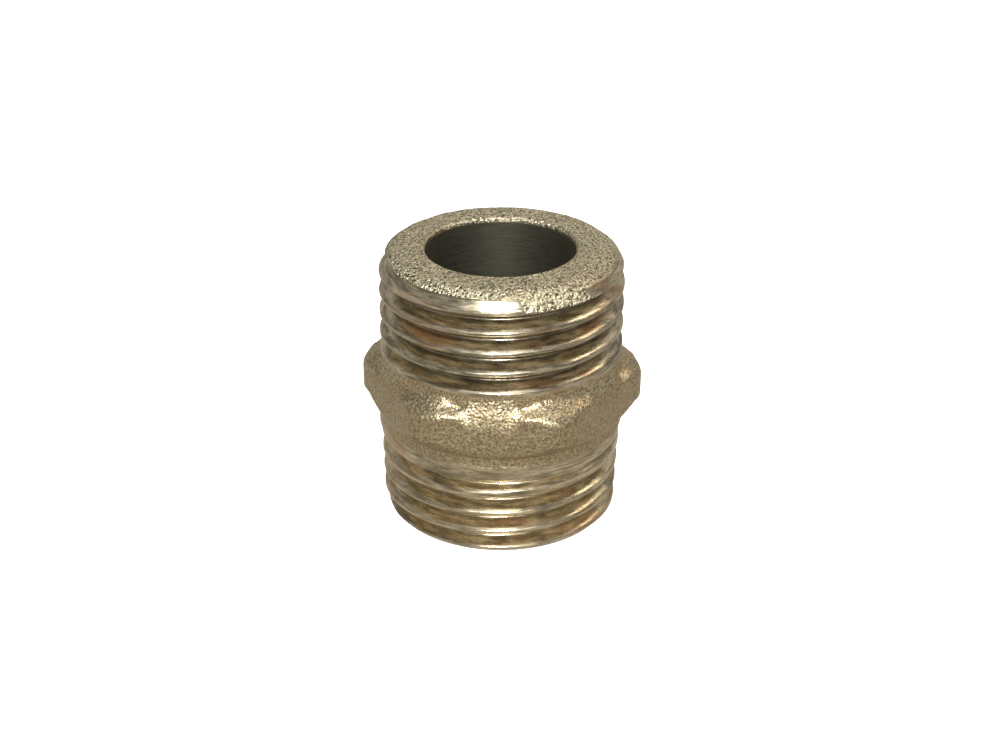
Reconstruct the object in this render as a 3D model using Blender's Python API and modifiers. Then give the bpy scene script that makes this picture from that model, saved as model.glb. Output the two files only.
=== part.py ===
"""Half-inch brass hex nipple: one forging with a bore through it, a hexagon round its
middle for the spanner, and a right-hand male pipe thread on each end.

The part stands on its lower end face: the origin is the middle of that face, +Z runs
up the bore, and two corners of the hexagon lie on the X axis.
"""

import math

import bmesh
import bpy
from mathutils import Matrix

MM = 0.001

# Overall and bore
LENGTH = 24.2 * MM
BORE_RADIUS = 6.4 * MM
BORE_LIP = 0.25 * MM

# Half-inch pipe thread, Whitworth form: 14 turns to the inch and 55 degrees between flanks
PITCH = 25.4 * MM / 14
CREST_RADIUS = 10.45 * MM
THREAD_DEPTH = 0.640327 * PITCH
ROOT_ROUNDING = 0.137329 * PITCH
HALF_FLANK_ANGLE = math.radians(27.5)
CREST_LAND = PITCH / 6
LOWER_TAPER = 1 / 16
TAPER_START = 6.5 * MM

# Heights where a crest crosses the front, and where each groove's middle runs out
FRONT = math.radians(270)
UPPER_CREST_HEIGHT = 20.76 * MM
LOWER_CREST_HEIGHT = 5.82 * MM
UPPER_GROOVE_END = 15.2 * MM
LOWER_GROOVE_END = 7.6 * MM
RUN_OUT_TURNS = 0.35
RUN_OUT_CLEARANCE = 0.15 * MM

# Hexagon: the spanner's size, its rounded corners, the cones that trim them above and
# below, and the plain ring left under it
ACROSS_FLATS = 22.0 * MM
CORNER_ROUNDING = 3.5 * MM
HEX_TOP = 15.3 * MM
FLAT_EDGE_TOP = 14.1 * MM
CORNER_EDGE_TOP = 13.0 * MM
CORNER_EDGE_BOTTOM = 10.9 * MM
RING_TOP = 9.5 * MM
RING_BOTTOM = 8.3 * MM
RING_RADIUS = 10.6 * MM

# End faces: how far in and how far down each rim is chamfered
TOP_FACE_RADIUS = 8.8 * MM
TOP_CHAMFER_HEIGHT = 1.3 * MM
BOTTOM_FACE_RADIUS = 9.65 * MM
BOTTOM_CHAMFER_HEIGHT = 0.7 * MM

STEPS_PER_TURN = 40
CUTTER_OVERSHOOT = 0.2 * MM
CLOSE = 1e-6


def clear_scene():
    """Start from nothing."""
    for thing in list(bpy.data.objects):
        bpy.data.objects.remove(thing, do_unlink=True)


def new_collection(name):
    """A collection linked under the scene's own."""
    group = bpy.data.collections.new(name)
    bpy.context.scene.collection.children.link(group)
    return group


def brass():
    """As-forged and shot-blasted brass."""
    metal = bpy.data.materials.new("brass")
    metal.use_nodes = True
    shader = metal.node_tree.nodes["Principled BSDF"]
    shader.inputs["Base Color"].default_value = (0.52, 0.40, 0.22, 1.0)
    shader.inputs["Metallic"].default_value = 1.0
    shader.inputs["Roughness"].default_value = 0.42
    return metal


def as_cutter(thing, group):
    """A helper for a Boolean, drawn as wire and never rendered."""
    group.objects.link(thing)
    thing.hide_render = True
    thing.display_type = "WIRE"
    return thing


def boolean(target, other, operation):
    """Join, cut or trim the target with another solid."""
    modifier = target.modifiers.new(f"{operation.lower()}_{other.name}", "BOOLEAN")
    modifier.operation = operation
    modifier.solver = "EXACT"
    modifier.object = other


def turned(name, profile):
    """A solid of revolution about Z, from its closed outline as (radius, height) points,
    listed down the outer side."""
    mesh = bpy.data.meshes.new(name)
    points = [(radius, 0.0, height) for radius, height in profile]
    edges = [(i, (i + 1) % len(points)) for i in range(len(points))]
    mesh.from_pydata(points, edges, [])
    solid = bpy.data.objects.new(name, mesh)
    screw = solid.modifiers.new("turn", "SCREW")
    screw.steps = 2 * STEPS_PER_TURN
    screw.render_steps = 2 * STEPS_PER_TURN
    screw.use_merge_vertices = True
    screw.merge_threshold = CLOSE
    return solid


def lower_crest_radius(height):
    """The lower thread narrows a little towards its end."""
    return CREST_RADIUS - LOWER_TAPER / 2 * max(0.0, TAPER_START - height)


def barrel_profile():
    """The turned outline of both ends, with the bore and its broken edges. The middle
    stretch lies inside the hexagon."""
    rim = LENGTH - TOP_CHAMFER_HEIGHT
    foot = BOTTOM_CHAMFER_HEIGHT
    outer = [
        (BORE_RADIUS + BORE_LIP, LENGTH),
        (TOP_FACE_RADIUS, LENGTH),
        (CREST_RADIUS, rim),
        (CREST_RADIUS, TAPER_START),
        (lower_crest_radius(foot), foot),
        (BOTTOM_FACE_RADIUS, 0.0),
    ]
    inner = [
        (BORE_RADIUS + BORE_LIP, 0.0),
        (BORE_RADIUS, BORE_LIP),
        (BORE_RADIUS, LENGTH - BORE_LIP),
    ]
    return outer + inner


def hex_prism(name):
    """A hexagonal prism with rounded corners, and no hole."""
    mesh = bpy.data.meshes.new(name)
    cage = bmesh.new()
    bmesh.ops.create_cone(
        cage,
        cap_ends=True,
        segments=6,
        radius1=ACROSS_FLATS / math.sqrt(3),
        radius2=ACROSS_FLATS / math.sqrt(3),
        depth=HEX_TOP - RING_BOTTOM,
    )
    turn = Matrix.Rotation(math.radians(30), 3, "Z")
    bmesh.ops.rotate(cage, verts=cage.verts, cent=(0, 0, 0), matrix=turn)
    bmesh.ops.translate(cage, verts=cage.verts, vec=(0, 0, (HEX_TOP + RING_BOTTOM) / 2))
    corners = [e for e in cage.edges if abs(e.verts[0].co.z - e.verts[1].co.z) > CLOSE]
    bmesh.ops.bevel(
        cage,
        geom=corners,
        offset=CORNER_ROUNDING * math.tan(math.radians(30)),
        segments=4,
        profile=0.5,
        affect="EDGES",
    )
    cage.to_mesh(mesh)
    cage.free()
    return bpy.data.objects.new(name, mesh)


def corner_trim_profile():
    """The turned form that the hexagon is trimmed to: a flared shoulder above, and a
    cone and a plain ring below. It is hollow, so that it only overlaps the barrel's skin."""
    inside = CREST_RADIUS - THREAD_DEPTH - 0.6 * MM
    flat = ACROSS_FLATS / 2
    corner = corner_reach()
    wide = corner + 0.6 * MM
    top_slope = (FLAT_EDGE_TOP - CORNER_EDGE_TOP) / (corner - flat)
    bottom_slope = (CORNER_EDGE_BOTTOM - RING_TOP) / (corner - RING_RADIUS)
    return [
        (inside, HEX_TOP),
        (RING_RADIUS, HEX_TOP),
        (flat, FLAT_EDGE_TOP),
        (wide, FLAT_EDGE_TOP - top_slope * (wide - flat)),
        (wide, RING_TOP + bottom_slope * (wide - RING_RADIUS)),
        (RING_RADIUS, RING_TOP),
        (RING_RADIUS, RING_BOTTOM),
        (inside, RING_BOTTOM),
    ]


def corner_reach():
    """How far the rounded corners stand from the axis."""
    sharp = ACROSS_FLATS / math.sqrt(3)
    return sharp - CORNER_ROUNDING * (1 / math.cos(math.radians(30)) - 1)


def groove_section(group):
    """The cutter's cross-section as a flat closed curve: its middle is on the thread's
    outside, X points outwards and Y along the axis."""
    flank = math.tan(HALF_FLANK_ANGLE)
    half_width = (PITCH - CREST_LAND) / 2
    centre = -THREAD_DEPTH + ROOT_ROUNDING
    tangent_x = centre - ROOT_ROUNDING * math.sin(HALF_FLANK_ANGLE)
    tangent_y = ROOT_ROUNDING * math.cos(HALF_FLANK_ANGLE)
    side = [
        (CUTTER_OVERSHOOT, half_width + CUTTER_OVERSHOOT * flank),
        (tangent_x, tangent_y),
    ]
    bottom = [(-THREAD_DEPTH, 0.0)]
    outline = side + bottom + [(x, -y) for x, y in reversed(side)]
    curve = bpy.data.curves.new("groove_section", "CURVE")
    curve.dimensions = "2D"
    curve.fill_mode = "NONE"
    spline = curve.splines.new("POLY")
    spline.points.add(len(outline) - 1)
    for point, (x, y) in zip(spline.points, outline):
        point.co = (x, y, 0.0, 1.0)
    spline.use_cyclic_u = True
    return as_cutter(bpy.data.objects.new("groove_section", curve), group)


def groove_cutter(name, section, group, low, high, middle, radius_at):
    """A right-hand helical cutter between two heights. Its middle crosses the front at
    the height given, and radius_at(height) is how far out its outer side is."""
    curve = bpy.data.curves.new(name, "CURVE")
    curve.dimensions = "3D"
    curve.twist_mode = "Z_UP"
    curve.bevel_mode = "OBJECT"
    curve.bevel_object = section
    curve.use_fill_caps = True
    first = math.floor((low - middle) / PITCH * STEPS_PER_TURN)
    last = math.ceil((high - middle) / PITCH * STEPS_PER_TURN)
    spline = curve.splines.new("POLY")
    spline.points.add(last - first)
    for point, step in zip(spline.points, range(first, last + 1)):
        angle = FRONT + 2 * math.pi * (step + 0.5) / STEPS_PER_TURN
        height = middle + PITCH * (step + 0.5) / STEPS_PER_TURN
        radius = radius_at(height)
        point.co = (radius * math.cos(angle), radius * math.sin(angle), height, 1.0)
    swept = bpy.data.objects.new(name + "_path", curve)
    group.objects.link(swept)
    return as_mesh(swept, name, group)


def as_mesh(swept, name, group):
    """The curve as a closed mesh with its caps welded on. The curve is removed."""
    graph = bpy.context.evaluated_depsgraph_get()
    mesh = bpy.data.meshes.new_from_object(swept.evaluated_get(graph))
    cage = bmesh.new()
    cage.from_mesh(mesh)
    bmesh.ops.remove_doubles(cage, verts=cage.verts, dist=CLOSE)
    bmesh.ops.recalc_face_normals(cage, faces=cage.faces)
    cage.to_mesh(mesh)
    cage.free()
    solid = bpy.data.objects.new(name, mesh)
    solid.matrix_world = swept.matrix_world
    bpy.data.objects.remove(swept, do_unlink=True)
    return as_cutter(solid, group)


def withdrawn(distance):
    """How far the thread tool has drawn out of the metal, this far before the groove's
    end along the axis."""
    share = 1 - distance / (RUN_OUT_TURNS * PITCH)
    return (THREAD_DEPTH + RUN_OUT_CLEARANCE) * max(0.0, min(1.0, share))


def upper_groove(section, group):
    """Runs in through the top face and out at the hexagon's shoulder."""
    return groove_cutter(
        "upper_groove",
        section,
        group,
        UPPER_GROOVE_END,
        LENGTH + PITCH,
        UPPER_CREST_HEIGHT + PITCH / 2,
        lambda height: CREST_RADIUS + withdrawn(height - UPPER_GROOVE_END),
    )


def lower_groove(section, group):
    """Runs in through the lower face and out under the hexagon."""
    return groove_cutter(
        "lower_groove",
        section,
        group,
        -PITCH,
        LOWER_GROOVE_END,
        LOWER_CREST_HEIGHT + PITCH / 2,
        lambda height: lower_crest_radius(height) + withdrawn(LOWER_GROOVE_END - height),
    )


def shade(solid):
    """Settle the modifiers, then shade the round surfaces smooth and the edges sharp."""
    graph = bpy.context.evaluated_depsgraph_get()
    mesh = bpy.data.meshes.new_from_object(solid.evaluated_get(graph))
    solid.modifiers.clear()
    solid.data = mesh
    mesh.name = solid.name
    mesh.shade_smooth()
    mesh.set_sharp_from_angle(angle=math.radians(25))


def build():
    clear_scene()
    parts = new_collection("hex_nipple")
    cutters = new_collection("cutters")

    collar = as_cutter(hex_prism("hex_collar"), cutters)
    trim = as_cutter(turned("corner_trim", corner_trim_profile()), cutters)
    boolean(collar, trim, "INTERSECT")

    body = turned("nipple_body", barrel_profile())
    parts.objects.link(body)
    body.data.materials.append(brass())
    section = groove_section(cutters)
    boolean(body, upper_groove(section, cutters), "DIFFERENCE")
    boolean(body, lower_groove(section, cutters), "DIFFERENCE")
    boolean(body, collar, "UNION")
    shade(body)


build()
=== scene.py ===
"""Looks for the half-inch brass hex nipple.

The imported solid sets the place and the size. One closed skin stands for it: the same
threads, hexagon and bore, with rounded crests, uneven run-outs, the pitted cast surface
and the turned one. The skin is a grid of rows along the section and columns round the
axis. Lengths here are in millimetres until the mesh is made.
"""

import math

import bpy
import numpy as np
from mathutils import Matrix, Vector


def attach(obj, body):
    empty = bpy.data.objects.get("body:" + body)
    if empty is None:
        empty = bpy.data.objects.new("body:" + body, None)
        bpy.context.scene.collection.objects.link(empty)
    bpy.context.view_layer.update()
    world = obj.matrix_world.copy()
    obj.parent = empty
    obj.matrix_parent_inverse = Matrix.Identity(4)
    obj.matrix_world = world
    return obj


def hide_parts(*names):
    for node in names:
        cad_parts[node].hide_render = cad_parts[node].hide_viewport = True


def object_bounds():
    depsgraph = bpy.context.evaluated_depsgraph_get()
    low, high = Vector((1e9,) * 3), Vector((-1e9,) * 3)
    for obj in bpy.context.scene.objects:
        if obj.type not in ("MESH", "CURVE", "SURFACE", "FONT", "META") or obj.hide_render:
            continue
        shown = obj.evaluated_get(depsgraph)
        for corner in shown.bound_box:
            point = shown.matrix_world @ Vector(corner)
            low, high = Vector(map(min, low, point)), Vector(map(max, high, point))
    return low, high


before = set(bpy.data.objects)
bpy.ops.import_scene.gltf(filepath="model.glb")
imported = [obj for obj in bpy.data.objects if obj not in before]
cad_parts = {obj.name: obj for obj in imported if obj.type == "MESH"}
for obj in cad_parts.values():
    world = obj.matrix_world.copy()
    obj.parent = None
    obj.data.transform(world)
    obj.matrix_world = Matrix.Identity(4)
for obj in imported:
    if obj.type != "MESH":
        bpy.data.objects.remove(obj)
cad_low, cad_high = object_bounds()

MM = 0.001
HEIGHT = (cad_high.z - cad_low.z) / MM

# Section: the bore, the cap that rounds off the upper face, and the two chamfers
BORE = 6.4
LIP = 0.30
TOP_DROP = 0.06
TOP_FLAT = 8.5
CAP_RADIUS = 9.78
CAP_DEPTH = 0.60
CAP_STEP = 0.12
CHAMFER_FOOT = 22.6
BOTTOM_FLAT = 9.66
BOTTOM_CHAMFER = 0.68

# Width of the fillet between one shape of the outside and the next
BLEND = 0.12

# Thread: Whitworth's form. The two crest heights are those at the front.
PITCH = 25.4 / 14
CREST = 10.45
DEPTH = 0.640327 * PITCH
SHARP_ROOT = CREST - DEPTH - 0.960491 * PITCH / 6
FLANK = 1 / math.tan(math.radians(27.5))
ROOT_ROUNDING = 0.29
CREST_ROUNDING = 0.26
RUN_OUT_RISE = DEPTH + 0.15
UPPER_CREST = 20.76
LOWER_CREST = 5.82
TAPER = 1 / 16
TAPER_START = 6.5
CENTRE = 11.9

# Heights of a groove's middle between which the die starts or stops cutting
UPPER_START = (23.46, 23.1)
UPPER_END = (15.3, 16.1)
LOWER_END = (7.8, 6.1)

# Hexagon, with the plain ring under it. The corners stand out past the flats.
FLATS = 22.0
ROUNDING = 3.5
CORNERS_OUT = 1.1
SHOULDER_TOP = 15.3
SHOULDER_BOTTOM = 8.3
RING = CREST + 0.13
RING_RIDGE = 0.05
CORNER_CONE_SLOPE = 1.25
CORNER_CONE_START = CREST - 1.0
LOWER_CONE_START = CREST + 0.27

# How cast the upper lip of the bore is
LIP_CAST = 0.8

# The ragged cast patch that the die left on the first crest
PATCH_AZIMUTH = math.radians(30)
PATCH_REACH = math.radians(19)
PATCH_EDGE = math.radians(4)
PATCH_FOOT = 22.2

# The casting leans a little from the threads' axis
LEAN = 0.016
LEAN_SHIFT = 0.07
TOP_TILT = 0.75 * LEAN

# The grid of the skin
COLUMNS = 288
THREAD_STEP = 0.075
HEXAGON_STEP = 0.12

# Directions in plan: the middle of the front flat, and the camera's side
FRONT = 1.5 * math.pi
FACING = FRONT + math.radians(4)


# ---------------------------------------------------------------- small helpers


def smooth_step(low, high, x):
    """0 below low, 1 above high, with no corner between. low may be the larger."""
    share = np.clip((x - low) / (high - low), 0, 1)
    return share * share * (3 - 2 * share)


def soft_min(a, b, width):
    """The smaller of two lengths, with a fillet where they cross."""
    gap = np.clip(0.5 + 0.5 * (b - a) / width, 0, 1)
    return b + (a - b) * gap - width * gap * (1 - gap)


def soft_max(a, b, width):
    """The larger of two lengths, with a fillet where they cross."""
    return -soft_min(-a, -b, width)


def angle_from(angle, centre):
    """Signed angle from centre, between -pi and pi."""
    return (angle - centre + math.pi) % (2 * math.pi) - math.pi


def grain(points, size, seed):
    """Smooth random relief of about -1 to 1, with bumps of about the given size."""
    table = np.random.default_rng(seed).uniform(-1, 1, 4096)
    where = points / size
    cell = np.floor(where).astype(np.int64)
    part = where - cell
    part = part * part * (3 - 2 * part)
    total = np.zeros(len(points))
    for dx in (0, 1):
        for dy in (0, 1):
            for dz in (0, 1):
                corner = cell + (dx, dy, dz)
                mixed = corner @ np.array([73856093, 19349663, 83492791])
                weight = np.ones(len(points))
                for axis, step in enumerate((dx, dy, dz)):
                    weight = weight * (part[:, axis] if step else 1 - part[:, axis])
                total += weight * table[(mixed ^ (mixed >> 13)) % 4096]
    return total


# ---------------------------------------------------------------- the section


def arc(start, end, bulge, count):
    """Points from start to end along a quarter of an ellipse. bulge is the corner that
    the curve turns round."""
    turn = np.linspace(0, math.pi / 2, count)
    (x0, z0), (x1, z1), (xc, zc) = start, end, bulge
    u, v = np.sin(turn), np.cos(turn)
    x = xc + (x0 - xc) * (1 - u) + (x1 - xc) * (1 - v)
    z = zc + (z0 - zc) * (1 - u) + (z1 - zc) * (1 - v)
    return list(zip(x, z))


def line(start, end, count):
    """Evenly spaced points from start towards end, without the last."""
    share = np.arange(count) / count
    return [
        (start[0] + (end[0] - start[0]) * t, start[1] + (end[1] - start[1]) * t)
        for t in share
    ]


def section():
    """Rows as (radius, height, part): up the bore, out over the top face, down the
    outside, and in under the lower face."""
    rows = []

    def add(points, part):
        rows.extend((x, z, part) for x, z in points)

    top = HEIGHT - TOP_DROP
    bore_heights = [LIP, 0.8, 2.5, 6, 10, 14, 18, 21, 23, top - LIP - 0.25]
    add([(BORE, z) for z in bore_heights], "bore")
    add(arc((BORE, top - LIP), (BORE + LIP, top), (BORE, top), 6), "lip")
    add(line((BORE + LIP + 0.08, top), (TOP_FLAT, top), 22), "face")
    rim = top - CAP_DEPTH
    add(arc((TOP_FLAT, top), (CAP_RADIUS, rim), (CAP_RADIUS, top), 10), "cap")
    heights = np.concatenate(
        [
            np.arange(rim - 0.03, SHOULDER_TOP, -THREAD_STEP),
            np.arange(SHOULDER_TOP, SHOULDER_BOTTOM, -HEXAGON_STEP),
            np.arange(SHOULDER_BOTTOM, BOTTOM_CHAMFER, -THREAD_STEP),
        ]
    )
    add([(CREST, z) for z in heights], "outside")
    foot = lower_crest(BOTTOM_CHAMFER)
    add(line((foot, BOTTOM_CHAMFER), (BOTTOM_FLAT, 0.0), 9), "foot")
    add(line((BOTTOM_FLAT, 0.0), (BORE + LIP, 0.0), 6), "under")
    add(arc((BORE + LIP, 0.0), (BORE, LIP), (BORE, 0.0), 5)[:-1], "lip")
    return rows


def lower_crest(height):
    """The lower thread narrows towards its end."""
    return CREST - TAPER / 2 * np.maximum(TAPER_START - height, 0)


def nearest_groove(angle, height, crest_height):
    """Height of the middle of the groove that this point belongs to."""
    lead = PITCH * angle_from(angle, FRONT) / (2 * math.pi)
    turns = np.round((height - crest_height - lead) / PITCH - 0.5)
    return crest_height + lead + PITCH * (turns + 0.5)


def thread(angle, height, crest_height, crest, depth_share):
    """Radius of a right-hand thread. Where the die cuts only a share of the depth, the
    groove is drawn outwards and keeps the angle of its sides."""
    off = height - nearest_groove(angle, height, crest_height)
    bottom = SHARP_ROOT + crest - CREST
    drawn_out = (1 - depth_share) * RUN_OUT_RISE
    vee = bottom + np.sqrt((FLANK * off) ** 2 + ROOT_ROUNDING**2) + drawn_out
    return soft_min(vee, crest, CREST_ROUNDING)


def hexagon(angle):
    """Radius of the rounded hexagon, with a corner on +X."""
    flat = FLATS / 2
    sixth = math.pi / 3
    off = np.abs((angle % sixth) - sixth / 2)
    centre = (flat - ROUNDING) / math.cos(sixth / 2)
    side = flat / np.cos(off)
    from_corner = sixth / 2 - off
    reach = ROUNDING**2 - (centre * np.sin(from_corner)) ** 2
    corner = centre * np.cos(from_corner) + np.sqrt(np.maximum(reach, 0))
    tangent = math.atan2(flat * math.tan(sixth / 2) - ROUNDING * math.tan(sixth / 2), flat)
    return np.where(off > tangent, corner, side)


def sideways(angle):
    """Share of a direction that points to the viewer's right."""
    return np.cos(angle - FACING - math.pi / 2)


def wobble(angle, seed):
    """Slow uneven wave round the axis, of about -1 to 1."""
    phases = np.random.default_rng(seed).uniform(0, 2 * math.pi, 6)
    turns = (3, 7, 11, 17, 26, 37)
    return sum(np.sin(t * angle + phase) for t, phase in zip(turns, phases)) / 3


def collar(angle, height):
    """Radius of the cast hexagon. Its corners end in a cone above and below. Its flats
    swell from the round shoulder above, and a plain ring is left under it."""
    right = sideways(angle)
    prism = hexagon(angle) + LEAN_SHIFT * right
    to_corner = (prism - FLATS / 2) / CORNERS_OUT

    # Above: a slow swell at the middle of a flat, a quicker one beside its corners
    above = SHOULDER_TOP - height
    off_middle = smooth_step(0.06, 0.34, to_corner)
    start = -0.1 + 1.2 * off_middle + 0.15 * wobble(angle, 11)
    swell = smooth_step(start, start + 3.7 - 2.9 * off_middle, above)
    fall = 4 * np.maximum(-0.2 - above, 0)
    flat = CREST + (prism - CREST) * swell - fall
    corner = soft_min(prism, CORNER_CONE_START + CORNER_CONE_SLOPE * above, 0.5)
    shape = flat + (np.minimum(corner, prism) - flat) * smooth_step(0.35, 0.95, to_corner)

    # Below: a cone that cuts the corners off, then the ring with a faint ridge on it
    below = height - SHOULDER_BOTTOM - 0.25 * right - 0.06 * wobble(angle, 12)
    cone = LOWER_CONE_START + (height - SHOULDER_BOTTOM - 1.3) * (0.98 + 0.12 * right)
    ridge = RING_RIDGE * smooth_step(0.3, 0.12, np.abs(below - 0.12))
    ring = RING + ridge - 6 * np.maximum(-below, 0)
    lower = soft_max(soft_min(shape, cone, 0.35), np.minimum(ring, shape), BLEND)
    return np.where(height < SHOULDER_BOTTOM + 2.5, lower, shape)


def outer(angle, height):
    """Radius of the outside at a height: barrel, grooves and hexagon."""
    rim = HEIGHT - TOP_DROP - CAP_DEPTH
    slope = (CREST - CAP_RADIUS - CAP_STEP) / (rim - CHAMFER_FOOT)
    chamfer = CREST - (height - CHAMFER_FOOT) * slope
    crest = lower_crest(height)
    barrel = soft_min(crest, chamfer, BLEND)

    groove = nearest_groove(angle, height, UPPER_CREST)
    cut = smooth_step(*UPPER_START, groove) * smooth_step(*UPPER_END, groove)
    upper = thread(angle, height, UPPER_CREST, CREST, cut)
    groove = nearest_groove(angle, height, LOWER_CREST)
    lower = thread(angle, height, LOWER_CREST, crest, smooth_step(*LOWER_END, groove))

    threaded = np.where(height > CENTRE, upper, lower)
    body = np.minimum(barrel, threaded)
    return soft_max(body, collar(angle, height), BLEND)


# ---------------------------------------------------------------- the skin


def skin_rows():
    """Angle, radius, height, cast share and part of every point, row by row."""
    angle = np.arange(COLUMNS) / COLUMNS * 2 * math.pi
    radius, height, cast, parts = [], [], [], []
    for x, z, part in section():
        around = np.full(COLUMNS, float(x))
        share = np.zeros(COLUMNS)
        if part in ("outside", "cap", "foot"):
            around = outer(angle, np.full(COLUMNS, z))
            if part != "outside":
                around = np.minimum(around, x)
        if part in ("face", "cap"):
            share[:] = 1
        if part == "lip" and z > CENTRE:
            share[:] = LIP_CAST
        if part == "outside":
            share = cast_share(angle, z)
        radius.append(around)
        height.append(np.full(COLUMNS, z))
        cast.append(share)
        parts += [part] * COLUMNS
    angles = np.tile(angle, len(radius))
    radius, height, cast = (np.concatenate(rows) for rows in (radius, height, cast))
    return angles, radius, height, cast, np.array(parts)


def make_skin():
    """The closed skin, with attributes that say where it is cast, bored or deep."""
    angle, radius, height, cast, parts = skin_rows()
    out = np.stack([np.cos(angle), np.sin(angle), 0 * angle], axis=-1)
    clean = out * radius[:, None]
    clean[:, 2] = height

    amount = relief(clean, cast)
    amount[np.isin(parts, ["under", "bore", "lip"])] = 0
    points = clean + out * np.where(parts == "face", 0, amount)[:, None]
    points[:, 2] += np.where(np.isin(parts, ["face", "cap"]), np.minimum(amount, 0), 0)
    lean(points, parts)

    bore = (parts == "bore").astype(float)
    # How deep a point lies in a thread root; the material paints shade there
    deep = smooth_step(0.75, 1.0, lower_crest(height) - radius)
    deep[parts != "outside"] = 0

    index = np.arange(len(points)).reshape(-1, COLUMNS)
    right = np.roll(index, -1, axis=1)
    above = np.roll(index, -1, axis=0)
    corner = np.roll(above, -1, axis=1)
    quads = np.stack([index, above, corner, right], axis=-1).reshape(-1, 4)

    mesh = bpy.data.meshes.new("nipple_skin")
    mesh.from_pydata((points * MM).tolist(), [], quads.tolist())
    for name, values in (("cast", cast), ("bore", bore), ("deep", deep)):
        layer = mesh.attributes.new(name, "FLOAT", "POINT")
        layer.data.foreach_set("value", values.astype(np.float32))
    mesh.shade_smooth()
    mesh.update()
    skin = bpy.data.objects.new("nipple_skin", mesh)
    bpy.context.scene.collection.objects.link(skin)
    return skin


def relief(points, cast):
    """How far the surface stands off its clean shape: grains and broad hollows where it
    is cast, and tool marks round the axis and a few dents where it is turned."""
    grains = 0.4 * grain(points, 0.7, 1) + 0.4 * grain(points, 0.42, 2)
    grains += 0.4 * grain(points, 0.27, 4)
    broad = grain(points, 2.6, 3)
    marks = grain(points * (0.06, 0.06, 1), 0.2, 5)
    marks += 0.6 * grain(points * (0.1, 0.1, 1), 0.11, 6)
    marks += 0.8 * np.sin(points[:, 2] * 20 + 3 * broad)
    dents = np.maximum(grain(points, 0.45, 7) - 0.45, 0)
    finer = smooth_step(14.2, 13.4, points[:, 2])
    rough = (0.045 - 0.028 * finer) * grains + 0.02 * broad - 0.045 + 0.02 * finer
    smooth = 0.007 * marks - 0.05 * dents - 0.007
    return cast * rough + (1 - cast) * smooth


def lean(points, parts):
    """Moves the bore, the top face and the cap with the casting, which leans a little
    from the axis of the threads."""
    right = np.array([-math.sin(FACING), math.cos(FACING)])
    across = points[:, :2] @ right
    shift = LEAN_SHIFT - LEAN * (points[:, 2] - CENTRE)
    inner = np.isin(parts, ["bore", "lip", "face", "cap"]) & (points[:, 2] > 0.5)
    points[inner, :2] += shift[inner, None] * right
    tilted = np.isin(parts, ["lip", "face", "cap"]) & (points[:, 2] > CENTRE)
    points[tilted, 2] += TOP_TILT * across[tilted]


def cast_share(angle, z):
    """How much of the cast surface is left at a height on the outside: the hexagon,
    and one ragged patch over the first crest where the die didn't clean up."""
    hexagon_share = smooth_step(8.35, 8.75, z) * smooth_step(15.25, 14.95, z)
    spots = np.stack([CREST * np.cos(angle), CREST * np.sin(angle), 0 * angle + z], axis=-1)
    ragged = 0.5 * grain(spots, 0.9, 8) + 0.5 * grain(spots, 0.4, 9)
    off = np.abs(angle_from(angle, FACING + PATCH_AZIMUTH)) + 0.12 * ragged
    patch = smooth_step(PATCH_REACH, PATCH_REACH - PATCH_EDGE, off)
    patch = patch * smooth_step(PATCH_FOOT, PATCH_FOOT + 0.3, z + 0.3 * ragged)
    return np.maximum(hexagon_share, patch)


# ---------------------------------------------------------------- materials


# Turned brass: dark and bright streaks above and below the hexagon, and its stains. The streaks
# are partly tool lines and partly painted reflection bands, and the lower ones are painted
# lighter.
UPPER_STREAKS_AND_PAINTED_REFLECTION = (0.27, 0.235, 0.165, 1), (0.76, 0.67, 0.49, 1)
LOWER_STREAKS_AND_PAINTED_LIGHT = (0.42, 0.34, 0.215, 1), (0.84, 0.73, 0.51, 1)
COPPER_STAIN = (0.56, 0.38, 0.245, 1)
GREY_STAIN = (0.22, 0.205, 0.15, 1)
# Painted shade for the thread roots
ROOT_PAINTED_SHADE = (0.06, 0.055, 0.04, 1)

# Cast brass: its pits and its skin, each from the hexagon to the upper face
PITS = (0.31, 0.245, 0.145, 1), (0.11, 0.095, 0.06, 1)
SKIN = (0.54, 0.45, 0.28, 1), (0.82, 0.74, 0.51, 1)
CAST_CLOUD = (0.52, 0.375, 0.225, 1)
# Painted glints: pale specks on the cast skin
PAINTED_GLINTS = (0.98, 0.92, 0.71, 1)

BORE_COLOUR = (0.135, 0.13, 0.095, 1)


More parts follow.
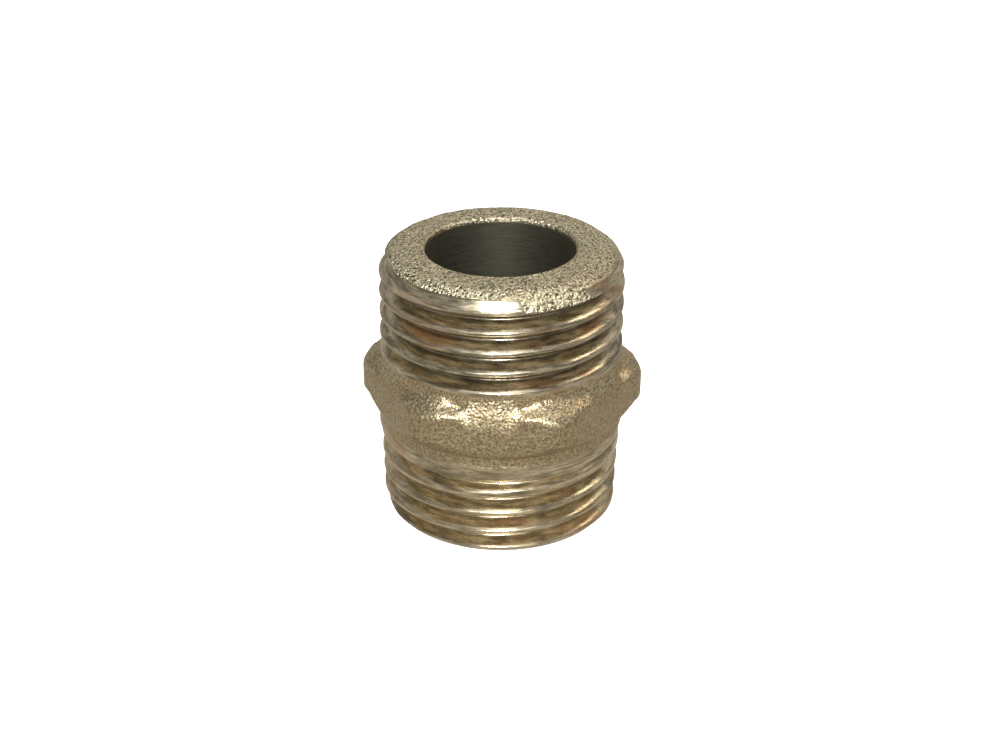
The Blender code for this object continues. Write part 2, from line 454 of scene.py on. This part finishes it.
class Nodes:
    """A little help for building a tree of nodes."""

    def __init__(self, tree):
        self.tree = tree

    def add(self, kind, inputs=None, **settings):
        node = self.tree.nodes.new(kind)
        for key, value in settings.items():
            setattr(node, key, value)
        for key, value in (inputs or {}).items():
            self.join(value, node.inputs[key])
        return node

    def join(self, value, socket):
        if isinstance(value, bpy.types.NodeSocket):
            self.tree.links.new(value, socket)
        else:
            socket.default_value = value

    def maths(self, operation, a, b=0.0):
        node = self.add("ShaderNodeMath", operation=operation)
        self.join(a, node.inputs[0])
        self.join(b, node.inputs[1])
        return node.outputs[0]

    def stretched(self, vector, stretch):
        """The vector with each axis scaled, so that a texture is drawn out along some."""
        node = self.add("ShaderNodeVectorMath", operation="MULTIPLY")
        self.join(vector, node.inputs[0])
        node.inputs[1].default_value = stretch
        return node.outputs[0]

    def ramp(self, value, low, high, from_low=0.0, from_high=1.0):
        node = self.add("ShaderNodeMapRange", {"Value": value})
        node.inputs["From Min"].default_value = from_low
        node.inputs["From Max"].default_value = from_high
        node.inputs["To Min"].default_value = low
        node.inputs["To Max"].default_value = high
        return node.outputs[0]

    def mix(self, share, a, b):
        node = self.add("ShaderNodeMix", data_type="RGBA")
        self.join(share, node.inputs["Factor"])
        self.join(a, node.inputs[6])
        self.join(b, node.inputs[7])
        return node.outputs[2]

    def attribute(self, name):
        return self.add("ShaderNodeAttribute", attribute_name=name).outputs["Fac"]

    def noise(self, vector, scale, detail=2.0, roughness=0.5):
        inputs = {"Vector": vector, "Scale": scale, "Detail": detail, "Roughness": roughness}
        return self.add("ShaderNodeTexNoise", inputs).outputs["Fac"]


def new_material(name):
    """A material, the helper for its nodes and its shader."""
    material = bpy.data.materials.new(name)
    material.use_nodes = True
    nodes = Nodes(material.node_tree)
    return material, nodes, nodes.tree.nodes["Principled BSDF"]


def brass_material():
    """Brass: pitted where cast, with painted glints; finely lined where turned, with painted
    reflection bands and painted shade in the thread roots; dull and dark in the bore.
    """
    material, n, shader = new_material("brass_skin")
    place = n.add("ShaderNodeTexCoord").outputs["Object"]
    cast = n.attribute("cast")
    bore = n.attribute("bore")
    deep = n.attribute("deep")
    height = n.add("ShaderNodeSeparateXYZ", {"Vector": place}).outputs["Z"]
    low = n.ramp(height, 1, 0, 0.0070, 0.0095)
    top = n.ramp(height, 0, 1, 0.0200, 0.0230)

    round_axis = n.stretched(place, (0.08, 0.08, 1.0))
    wide = n.stretched(place, (0.35, 0.35, 1.0))
    lines = n.noise(round_axis, 9000.0, 3.0, 0.6)
    streaks = n.noise(round_axis, 4200.0, 5.0, 0.7)
    stain = n.noise(wide, 480.0, 8.0, 0.68)
    cloud = n.noise(place, 260.0, 5.0, 0.6)
    pits = n.noise(place, 4300.0, 3.0, 0.65)
    glint_specks = n.noise(place, 5600.0, 2.0, 0.6)
    grains = n.add("ShaderNodeTexVoronoi", {"Vector": place, "Scale": 3800.0}).outputs["Distance"]

    # Painted reflection: the streaks' dark and bright tones stand in for reflected bands, painted
    # lighter on the lower thread
    streaks_and_painted_reflection = n.ramp(n.maths("ADD", streaks, n.ramp(lines, -0.1, 0.1)), 0, 1, 0.40, 0.58)
    turned = n.mix(low, n.mix(streaks_and_painted_reflection, *UPPER_STREAKS_AND_PAINTED_REFLECTION), n.mix(streaks_and_painted_reflection, *LOWER_STREAKS_AND_PAINTED_LIGHT))
    turned = n.mix(n.ramp(stain, 0, 0.7, 0.54, 0.62), turned, COPPER_STAIN)
    turned = n.mix(n.ramp(stain, 0.6, 0, 0.38, 0.46), turned, GREY_STAIN)
    # Painted shade: the thread roots darkened, less on the lower thread
    turned = n.mix(n.maths("MULTIPLY", deep, n.ramp(low, 0.5, 0.25)), turned, ROOT_PAINTED_SHADE)

    shoulder = n.ramp(height, 0, 1, 0.0131, 0.0142)
    pale = n.maths("ADD", n.maths("MULTIPLY", shoulder, 0.2), n.maths("MULTIPLY", top, 0.8))
    raised = n.ramp(pale, 0.25, 1)
    # Painted glints: pale specks on the cast skin, strongest on the upper face
    bright = n.maths("MULTIPLY", n.ramp(glint_specks, 0, 1, 0.56, 0.62), raised)
    pitted = n.mix(n.ramp(pits, 0, 1, 0.42, 0.55), n.mix(pale, *PITS), n.mix(pale, *SKIN))
    pitted = n.mix(n.ramp(cloud, 0, 0.5, 0.5, 0.68), pitted, CAST_CLOUD)
    pitted = n.mix(bright, pitted, PAINTED_GLINTS)

    colour = n.mix(bore, n.mix(cast, turned, pitted), BORE_COLOUR)
    n.join(colour, shader.inputs["Base Color"])
    shader.inputs["Metallic"].default_value = 1.0

    rough = n.ramp(lines, 0.20, 0.36, 0.3, 0.7)
    rough_cast = n.ramp(pits, 0.30, 0.46, 0.35, 0.65)
    blend = n.add("ShaderNodeMix", data_type="FLOAT")
    n.join(cast, blend.inputs["Factor"])
    n.join(rough, blend.inputs[2])
    n.join(rough_cast, blend.inputs[3])
    dull_bore = n.maths("MULTIPLY", bore, 0.3)
    n.join(n.maths("ADD", blend.outputs[0], dull_bore), shader.inputs["Roughness"])

    line_bump = n.add("ShaderNodeBump", {"Height": lines, "Distance": 0.00002})
    n.join(n.ramp(cast, 0.6, 0), line_bump.inputs["Strength"])
    rough_height = n.maths("ADD", pits, n.maths("MULTIPLY", grains, 0.6))
    pit_bump = n.add("ShaderNodeBump", {"Height": rough_height, "Distance": 0.0002})
    n.join(line_bump.outputs[0], pit_bump.inputs["Normal"])
    n.join(n.maths("MULTIPLY", cast, raised), pit_bump.inputs["Strength"])
    n.join(pit_bump.outputs[0], shader.inputs["Normal"])
    return material


# ---------------------------------------------------------------- stage and camera


def make_floor():
    """A wide pale floor, which shows in no reflection and casts no shadow."""
    mesh = bpy.data.meshes.new("floor")
    reach = 3.0
    corners = [(-reach, -reach, 0), (reach, -reach, 0), (reach, reach, 0), (-reach, reach, 0)]
    mesh.from_pydata(corners, [], [(0, 1, 2, 3)])
    floor = bpy.data.objects.new("floor", mesh)
    floor.location.z = -0.00002
    bpy.context.scene.collection.objects.link(floor)
    white, _, shader = new_material("floor_white")
    shader.inputs["Base Color"].default_value = (0.93, 0.93, 0.93, 1)
    shader.inputs["Roughness"].default_value = 0.9
    shader.inputs["Specular IOR Level"].default_value = 0.1
    shader.inputs["Emission Color"].default_value = (1, 1, 1, 1)
    shader.inputs["Emission Strength"].default_value = 0.8
    floor.visible_glossy = False
    floor.visible_shadow = False
    mesh.materials.append(white)


def area_light(name, azimuth, elevation, distance, size, power, colour):
    """A soft light aimed at the middle of the part, with its width and height in metres.
    Azimuth is from the camera's side, positive to the right."""
    lamp = bpy.data.lights.new(name, "AREA")
    lamp.shape = "ELLIPSE"
    lamp.size, lamp.size_y = size
    lamp.energy = power
    lamp.color = colour
    light = bpy.data.objects.new(name, lamp)
    a = FACING + math.radians(azimuth)
    e = math.radians(elevation)
    away = Vector((math.cos(a) * math.cos(e), math.sin(a) * math.cos(e), math.sin(e)))
    centre = Vector((0, 0, CENTRE * MM))
    light.location = centre + away * distance
    light.rotation_euler = away.to_track_quat("Z", "Y").to_euler()
    bpy.context.scene.collection.objects.link(light)


def make_room():
    """A dim room, warmer low down and cooler overhead."""
    world = bpy.data.worlds.new("room")
    bpy.context.scene.world = world
    world.use_nodes = True
    n = Nodes(world.node_tree)
    direction = n.add("ShaderNodeTexCoord").outputs["Generated"]
    up = n.add("ShaderNodeSeparateXYZ", {"Vector": direction}).outputs["Z"]
    share = n.ramp(up, 0, 1, -0.35, 1.0)
    colour = n.mix(share, (0.50, 0.46, 0.40, 1), (0.225, 0.23, 0.235, 1))
    n.join(colour, n.tree.nodes["Background"].inputs["Color"])


def make_lights():
    """Two large soft lights in front and above, a warm one behind on the right, and a
    narrow one by the camera, which draws the short bright lines on the crests."""
    white, warm = (1.0, 1.0, 1.0), (1.0, 0.86, 0.68)
    area_light("front_soft", -4, 50, 0.8, (0.20, 0.36), 1.2, white)
    area_light("top_soft", -4, 78, 0.8, (0.34, 0.16), 0.5, white)
    area_light("right_warm", 128, 56, 0.8, (0.36, 0.36), 1.5, warm)
    area_light("near_camera", -2, 31, 0.35, (0.010, 0.11), 1.25, white)


def make_camera():
    """The camera stands 147.5 mm from the middle of the part, 27 degrees up."""
    distance, elevation, roll, aside = 147.5, 0.471, 0.0107, 0.074
    share_of_width = 0.01144  # of the picture, for each millimetre at the part's middle
    right = Vector((-math.sin(FACING), math.cos(FACING), 0))
    away = Vector((math.cos(FACING), math.sin(FACING), 0))
    back = away * math.cos(elevation) + Vector((0, 0, math.sin(elevation)))
    up = back.cross(right)
    place = Vector((0, 0, CENTRE)) + back * distance - right * aside
    side = right * math.cos(roll) + up * math.sin(roll)
    top = up * math.cos(roll) - right * math.sin(roll)
    lens = bpy.data.cameras.new("camera")
    lens.sensor_width = 36
    lens.lens = share_of_width * distance * lens.sensor_width
    lens.clip_start = 0.005
    camera = bpy.data.objects.new("camera", lens)
    turn = Matrix((side, top, back)).transposed().to_4x4()
    camera.matrix_world = Matrix.Translation(place * MM) @ turn
    bpy.context.scene.collection.objects.link(camera)
    bpy.context.scene.camera = camera


make_camera()
make_floor()
make_room()
make_lights()

skin = make_skin()
skin.data.materials.append(brass_material())
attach(skin, "root")
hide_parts("nipple_body")

bpy.context.scene.view_settings.view_transform = "Standard"
